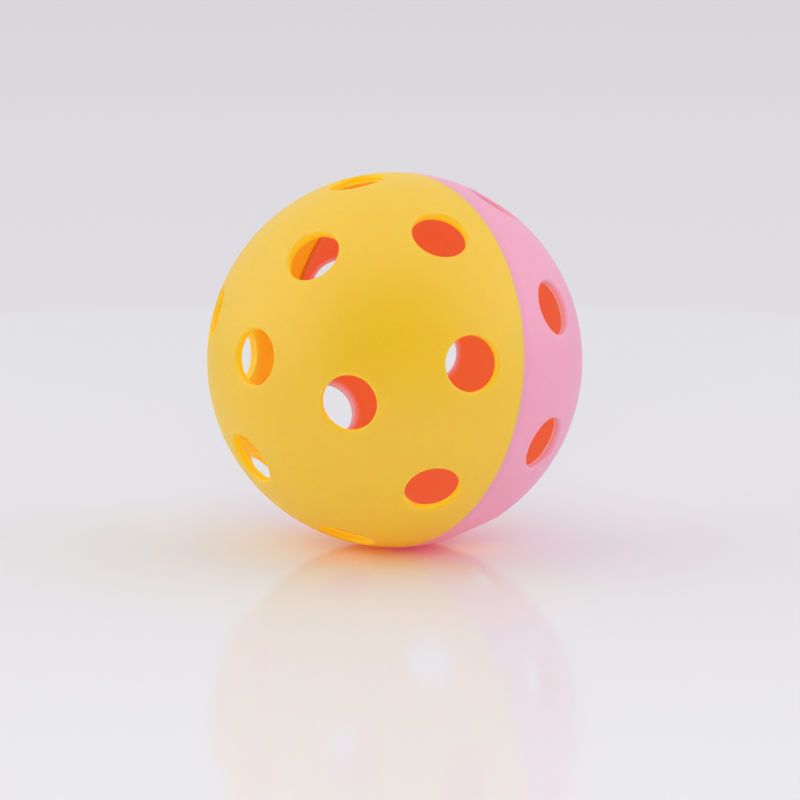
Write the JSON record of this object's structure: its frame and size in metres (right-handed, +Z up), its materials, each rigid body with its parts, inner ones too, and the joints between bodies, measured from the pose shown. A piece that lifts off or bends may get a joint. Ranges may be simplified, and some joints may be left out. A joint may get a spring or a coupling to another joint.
{
  "type": "pickleball ball",
  "caption": "Hollow perforated plastic ball with round holes in rings about two poles, moulded in two coloured halves and welded round the equator.",
  "frame": {"origin": "the ball's centre", "axes": "+Z up as the ball rests on a level floor; the moulding axis through the two polar holes lies in the XZ plane, the yellow pole towards -X and raised 7.5 degrees; +Y completes the right-handed frame"},
  "size_m": [0.074, 0.074, 0.074],
  "materials": {
    "yellow_half": "semi-gloss moulded polyethylene, translucent at the thin wall",
    "pink_half": "semi-gloss moulded polyethylene, translucent at the thin wall",
    "weld_bead": "dull squeezed-out melt, the two halves' colours mixed"
  },
  "bodies": {
    "root": {"yellow_half_shell": "yellow_half", "pink_half_shell": "pink_half", "weld_bead": "weld_bead"}
  },
  "joints": []
}
